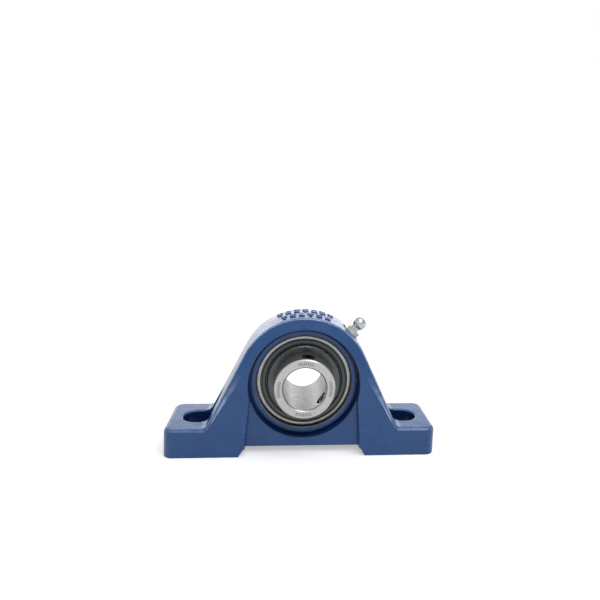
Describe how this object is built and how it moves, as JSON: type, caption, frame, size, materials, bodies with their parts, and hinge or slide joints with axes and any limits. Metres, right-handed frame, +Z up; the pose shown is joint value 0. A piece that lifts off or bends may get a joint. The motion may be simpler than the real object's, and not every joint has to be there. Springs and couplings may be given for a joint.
{
  "type": "pillow block bearing",
  "caption": "Cast pillow block with a self-aligning ball bearing insert, slotted feet, set screw shaft lock and an angled grease nipple.",
  "frame": {"origin": "middle of the base, on the plane the feet rest on, half way between the two mounting slots", "axes": "+Z up from the base, X along the base through both slots, -Y along the shaft towards the set screw side"},
  "size_m": [0.127, 0.0343, 0.065],
  "materials": {
    "housing": "blue grey machine enamel on cast iron",
    "bearing_steel": "ground",
    "flinger_steel": "pressed sheet, satin",
    "seal_steel": "pressed sheet, satin",
    "rubber": "matte",
    "cage_polyamide": "natural polyamide",
    "screw_steel": "black oxide",
    "zinc_steel": "bright zinc plate",
    "spring_steel": "drawn wire",
    "ball_steel": "polished"
  },
  "bodies": {
    "housing": {"housing": "housing", "grease_nipple_body": "zinc_steel", "nipple_spring": "spring_steel"},
    "outer_ring": {"outer_ring": "bearing_steel", "front_seal_shell": "seal_steel", "rear_seal_shell": "seal_steel", "front_seal_lip": "rubber", "rear_seal_lip": "rubber"},
    "inner_ring": {"inner_ring": "bearing_steel", "front_flinger": "flinger_steel", "rear_flinger": "flinger_steel"},
    "cage": {"cage": "cage_polyamide"},
    "set_screw_1": {"set_screw_1": "screw_steel"},
    "set_screw_2": {"set_screw_2": "screw_steel"},
    "check_ball": {"nipple_check_ball": "ball_steel"},
    "ball_1": {"ball_1": "ball_steel"},
    "ball_2": {"ball_2": "ball_steel"},
    "ball_3": {"ball_3": "ball_steel"},
    "ball_4": {"ball_4": "ball_steel"},
    "ball_5": {"ball_5": "ball_steel"},
    "ball_6": {"ball_6": "ball_steel"},
    "ball_7": {"ball_7": "ball_steel"},
    "ball_8": {"ball_8": "ball_steel"}
  },
  "joints": [
    {"name": "bearing_align", "type": "hinge", "parent": "housing", "child": "outer_ring", "pos_m": [0, 0, 0.0333], "axis": [1, 0, 0], "range_deg": [-2, 2]},
    {"name": "shaft_spin", "type": "hinge", "parent": "outer_ring", "child": "inner_ring", "pos_m": [0, 0, 0.0333], "axis": [0, 1, 0], "continuous": true},
    {"name": "cage_orbit", "type": "hinge", "parent": "outer_ring", "child": "cage", "pos_m": [0, 0, 0.0333], "axis": [0, 1, 0], "continuous": true},
    {"name": "ball_1_roll", "type": "hinge", "parent": "cage", "child": "ball_1", "pos_m": [0.01675, 0, 0.0333], "axis": [0, 1, 0], "continuous": true},
    {"name": "ball_2_roll", "type": "hinge", "parent": "cage", "child": "ball_2", "pos_m": [0.01184, 0, 0.04514], "axis": [0, 1, 0], "continuous": true},
    {"name": "ball_3_roll", "type": "hinge", "parent": "cage", "child": "ball_3", "pos_m": [0, 0, 0.05005], "axis": [0, 1, 0], "continuous": true},
    {"name": "ball_4_roll", "type": "hinge", "parent": "cage", "child": "ball_4", "pos_m": [-0.01184, 0, 0.04514], "axis": [0, 1, 0], "continuous": true},
    {"name": "ball_5_roll", "type": "hinge", "parent": "cage", "child": "ball_5", "pos_m": [-0.01675, 0, 0.0333], "axis": [0, 1, 0], "continuous": true},
    {"name": "ball_6_roll", "type": "hinge", "parent": "cage", "child": "ball_6", "pos_m": [-0.01184, 0, 0.02146], "axis": [0, 1, 0], "continuous": true},
    {"name": "ball_7_roll", "type": "hinge", "parent": "cage", "child": "ball_7", "pos_m": [0, 0, 0.01655], "axis": [0, 1, 0], "continuous": true},
    {"name": "ball_8_roll", "type": "hinge", "parent": "cage", "child": "ball_8", "pos_m": [0.01184, 0, 0.02146], "axis": [0, 1, 0], "continuous": true},
    {"name": "set_screw_1_travel", "type": "slide", "parent": "inner_ring", "child": "set_screw_1", "axis": [0.1045, 0, 0.9945], "range_m": [-0.0002, 0.002]},
    {"name": "set_screw_2_travel", "type": "slide", "parent": "inner_ring", "child": "set_screw_2", "axis": [0.809, 0, -0.5878], "range_m": [-0.0002, 0.002]},
    {"name": "check_ball_travel", "type": "slide", "parent": "housing", "child": "check_ball", "axis": [-0.7071, 0, -0.7071], "range_m": [0, 0.0008], "stiffness_N_per_m": 60, "springref_m": -0.002, "deforming": ["nipple_spring"]}
  ],
  "couplings": [
    {"joint": "cage_orbit", "follows": "shaft_spin", "ratio": 0.38152},
    {"joint": "ball_1_roll", "follows": "shaft_spin", "ratio": -1.9916},
    {"joint": "ball_2_roll", "follows": "shaft_spin", "ratio": -1.9916},
    {"joint": "ball_3_roll", "follows": "shaft_spin", "ratio": -1.9916},
    {"joint": "ball_4_roll", "follows": "shaft_spin", "ratio": -1.9916},
    {"joint": "ball_5_roll", "follows": "shaft_spin", "ratio": -1.9916},
    {"joint": "ball_6_roll", "follows": "shaft_spin", "ratio": -1.9916},
    {"joint": "ball_7_roll", "follows": "shaft_spin", "ratio": -1.9916},
    {"joint": "ball_8_roll", "follows": "shaft_spin", "ratio": -1.9916}
  ]
}
